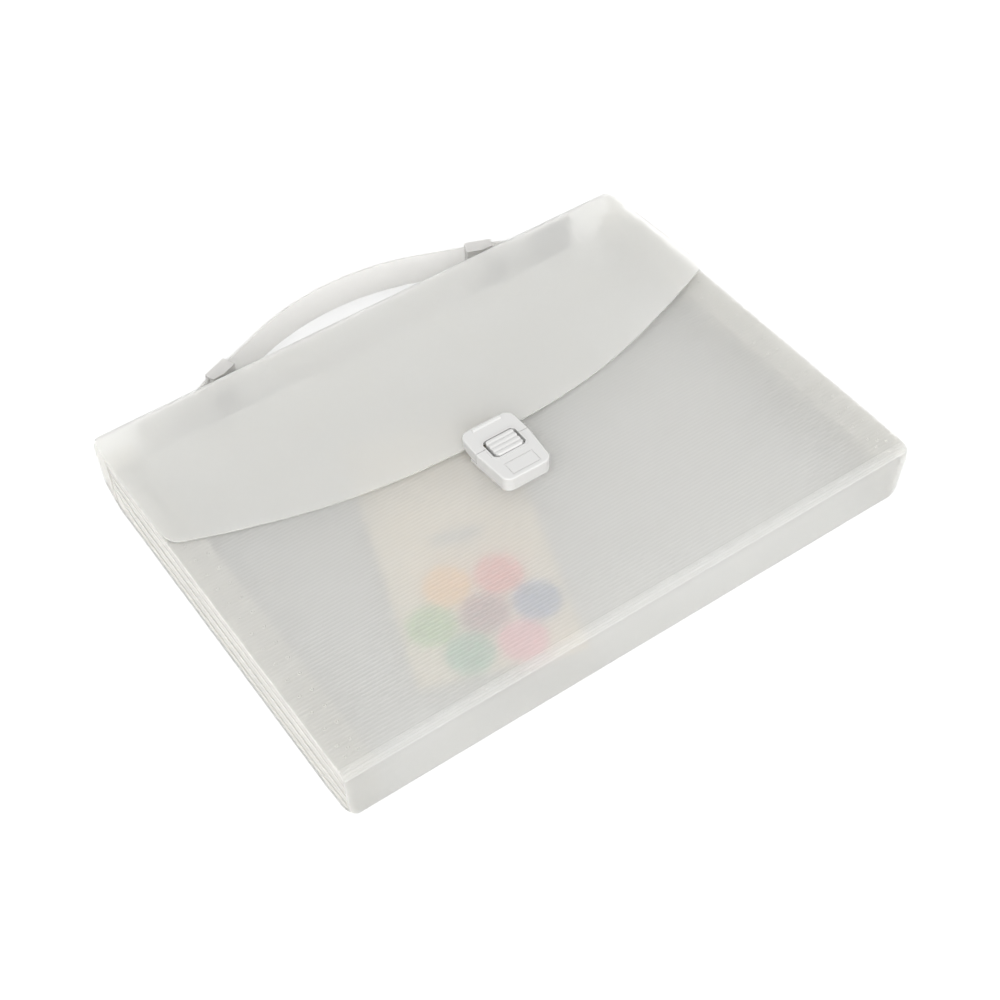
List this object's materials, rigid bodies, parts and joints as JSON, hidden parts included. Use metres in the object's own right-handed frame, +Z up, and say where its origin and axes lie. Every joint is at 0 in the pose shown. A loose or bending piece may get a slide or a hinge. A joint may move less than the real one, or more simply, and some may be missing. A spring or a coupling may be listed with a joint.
{
  "type": "document case",
  "caption": "Flat expanding document case in frosted sheet plastic with a ribbed front, curved flap, push-button latch, pleated sides, loose-leaf pockets and an arched strap handle.",
  "frame": {"origin": "under the middle of the whole part on the plane it lies on, handle included", "axes": "+X along the long side, +Y from the bottom spine to the handle, +Z up from the back panel"},
  "size_m": [0.33, 0.2872, 0.0434],
  "materials": {
    "cover_sheet": "frosted translucent sheet",
    "bellows_sheet": "frosted translucent thin sheet",
    "divider_sheet": "frosted translucent thin sheet",
    "strap_plastic": "satin translucent",
    "clip_plastic": "satin moulded",
    "latch_plastic": "soft gloss moulded",
    "spring_steel": "plain",
    "card": "uncoated card"
  },
  "bodies": {
    "case_back": {"back_panel": "cover_sheet", "bottom_spine": "cover_sheet", "bellows_left": "bellows_sheet", "bellows_right": "bellows_sheet"},
    "top_spine_body": {"top_spine": "cover_sheet", "handle_strap": "strap_plastic", "handle_clip_left": "clip_plastic", "handle_clip_right": "clip_plastic", "handle_retainer_left": "clip_plastic", "handle_retainer_right": "clip_plastic"},
    "flap_body": {"flap": "cover_sheet", "latch_hasp": "latch_plastic", "hasp_backing": "latch_plastic"},
    "front_body": {"front_panel": "cover_sheet", "latch_base": "latch_plastic", "latch_housing": "latch_plastic", "latch_backing": "latch_plastic", "latch_spring": "spring_steel"},
    "button_body": {"latch_button": "latch_plastic"},
    "divider_1_body": {"divider_1": "divider_sheet"},
    "divider_2_body": {"divider_2": "divider_sheet"},
    "divider_3_body": {"divider_3": "divider_sheet"},
    "divider_4_body": {"divider_4": "divider_sheet", "printed_card": "card"},
    "divider_5_body": {"divider_5": "divider_sheet"},
    "divider_6_body": {"divider_6": "divider_sheet"}
  },
  "joints": [
    {"name": "spine_tip", "type": "hinge", "parent": "case_back", "child": "top_spine_body", "pos_m": [0, 0.106, 0.0004], "axis": [-1, 0, 0], "range_deg": [0, 90]},
    {"name": "flap_fold", "type": "hinge", "parent": "top_spine_body", "child": "flap_body", "pos_m": [0, 0.106, 0.031], "axis": [-1, 0, 0], "range_deg": [0, 90]},
    {"name": "front_fan", "type": "hinge", "parent": "case_back", "child": "front_body", "pos_m": [0, -0.1391, 0.0336], "axis": [1, 0, 0], "range_deg": [0, 13.5], "deforming": ["bellows_left", "bellows_right"]},
    {"name": "button_press", "type": "slide", "parent": "front_body", "child": "button_body", "axis": [0, 0, -1], "range_m": [0, 0.0012], "stiffness_N_per_m": 350, "deforming": ["latch_spring"]},
    {"name": "divider_1_fan", "type": "hinge", "parent": "case_back", "child": "divider_1_body", "pos_m": [0, -0.1391, 0.0336], "axis": [1, 0, 0], "range_deg": [0, 0.748]},
    {"name": "divider_2_fan", "type": "hinge", "parent": "case_back", "child": "divider_2_body", "pos_m": [0, -0.1391, 0.0336], "axis": [1, 0, 0], "range_deg": [0, 2.68]},
    {"name": "divider_3_fan", "type": "hinge", "parent": "case_back", "child": "divider_3_body", "pos_m": [0, -0.1391, 0.0336], "axis": [1, 0, 0], "range_deg": [0, 5.31]},
    {"name": "divider_4_fan", "type": "hinge", "parent": "case_back", "child": "divider_4_body", "pos_m": [0, -0.1391, 0.0336], "axis": [1, 0, 0], "range_deg": [0, 8.19]},
    {"name": "divider_5_fan", "type": "hinge", "parent": "case_back", "child": "divider_5_body", "pos_m": [0, -0.1391, 0.0336], "axis": [1, 0, 0], "range_deg": [0, 10.82]},
    {"name": "divider_6_fan", "type": "hinge", "parent": "case_back", "child": "divider_6_body", "pos_m": [0, -0.1391, 0.0336], "axis": [1, 0, 0], "range_deg": [0, 12.75]}
  ],
  "couplings": [
    {"joint": "front_fan", "follows": "flap_fold", "ratio": 0.15},
    {"joint": "divider_1_fan", "follows": "flap_fold", "ratio": 0.00831},
    {"joint": "divider_2_fan", "follows": "flap_fold", "ratio": 0.02974},
    {"joint": "divider_3_fan", "follows": "flap_fold", "ratio": 0.05904},
    {"joint": "divider_4_fan", "follows": "flap_fold", "ratio": 0.09096},
    {"joint": "divider_5_fan", "follows": "flap_fold", "ratio": 0.12026},
    {"joint": "divider_6_fan", "follows": "flap_fold", "ratio": 0.14169}
  ]
}
